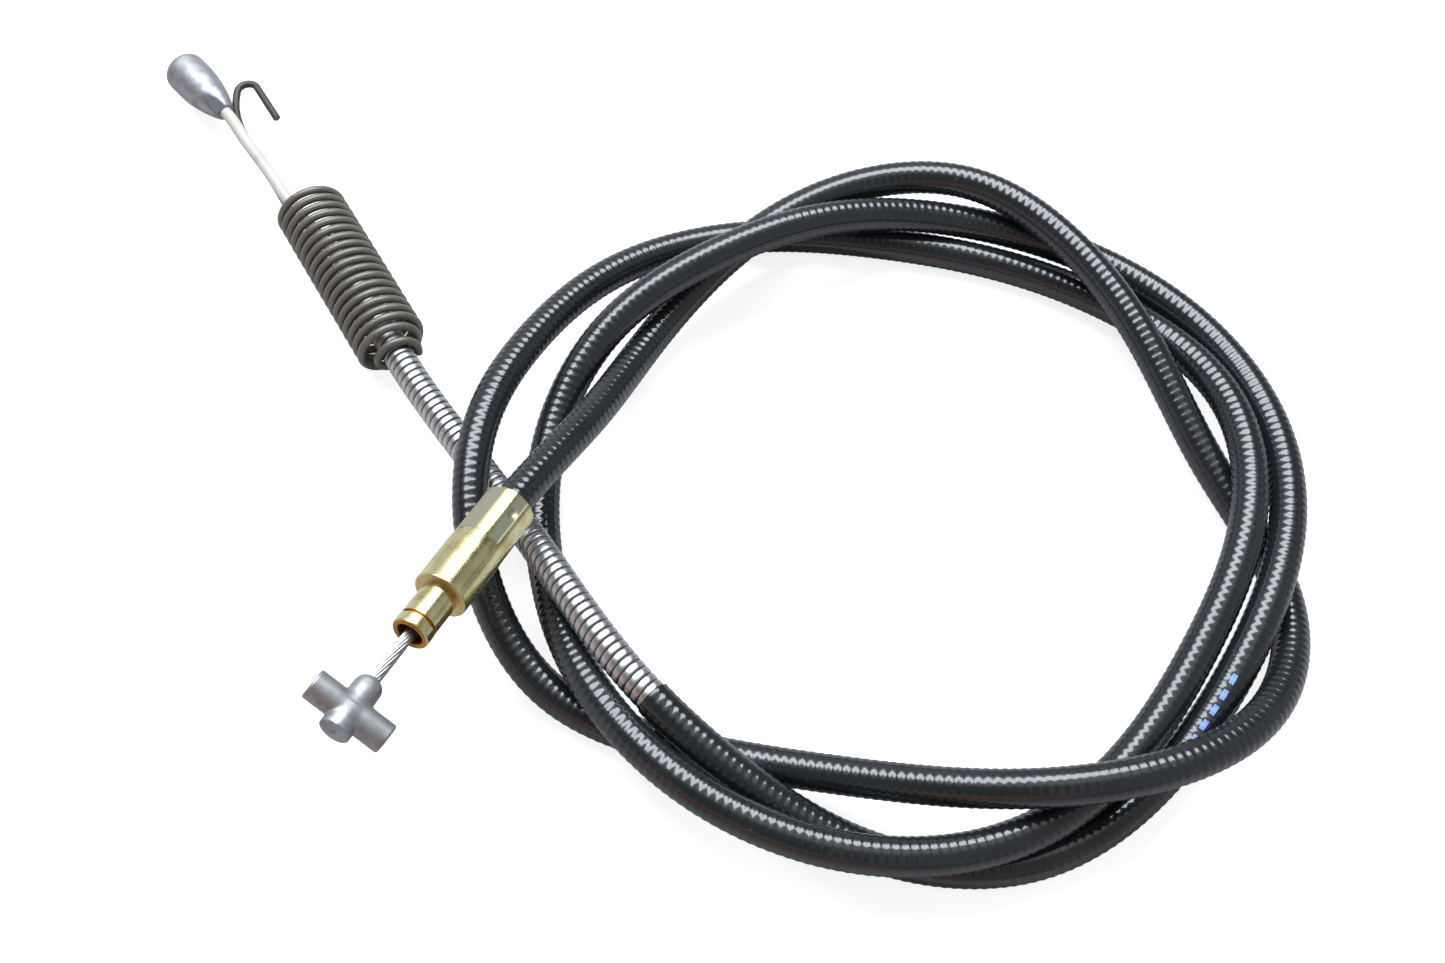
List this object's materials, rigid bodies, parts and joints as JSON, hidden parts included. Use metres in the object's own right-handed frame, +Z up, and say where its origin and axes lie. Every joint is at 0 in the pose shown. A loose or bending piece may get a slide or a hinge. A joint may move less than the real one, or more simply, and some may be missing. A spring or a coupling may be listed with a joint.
{
  "type": "clutch cable",
  "caption": "Coiled control cable: sheathed spiral conduit, sliding inner wire with T and bullet nipples, crimped ferrule and hooked return spring.",
  "frame": {"origin": "centre of the bounding box in plan, at the surface that the coil lies on", "axes": "+X along the longest side, with the bullet nipple at -X; +Y away from the camera; +Z up"},
  "size_m": [0.2718, 0.2174, 0.0479],
  "materials": {
    "jacket_plastic": "black extruded PVC over a ribbed conduit, smooth with a soft gloss",
    "conduit_steel": "bright drawn steel wire, closely wound",
    "strand_steel": "bright stranded steel wire",
    "ferrule_plating": "yellow passivated zinc plate on turned steel",
    "cast_zinc": "bluish grey pressure-cast zinc, satin",
    "spring_steel": "dark oiled spring wire",
    "wire_coating": "natural nylon coating"
  },
  "bodies": {
    "sheath": {"jacket": "jacket_plastic", "spiral_conduit": "conduit_steel", "inner_wire": "strand_steel", "ferrule": "ferrule_plating", "return_spring": "spring_steel"},
    "tee_end": {"tee_nipple": "cast_zinc", "bare_wire_end": "strand_steel"},
    "bullet_end": {"bullet_nipple": "cast_zinc", "coated_wire_end": "wire_coating"}
  },
  "joints": [
    {"name": "bullet_slide", "type": "slide", "parent": "sheath", "child": "bullet_end", "axis": [-0.515, 0.8572, 0], "range_m": [0, 0.0114]},
    {"name": "tee_slide", "type": "slide", "parent": "sheath", "child": "tee_end", "axis": [0.4289, 0.8749, -0.225], "range_m": [0, 0.0114]}
  ],
  "couplings": [
    {"joint": "tee_slide", "follows": "bullet_slide", "ratio": 1}
  ]
}
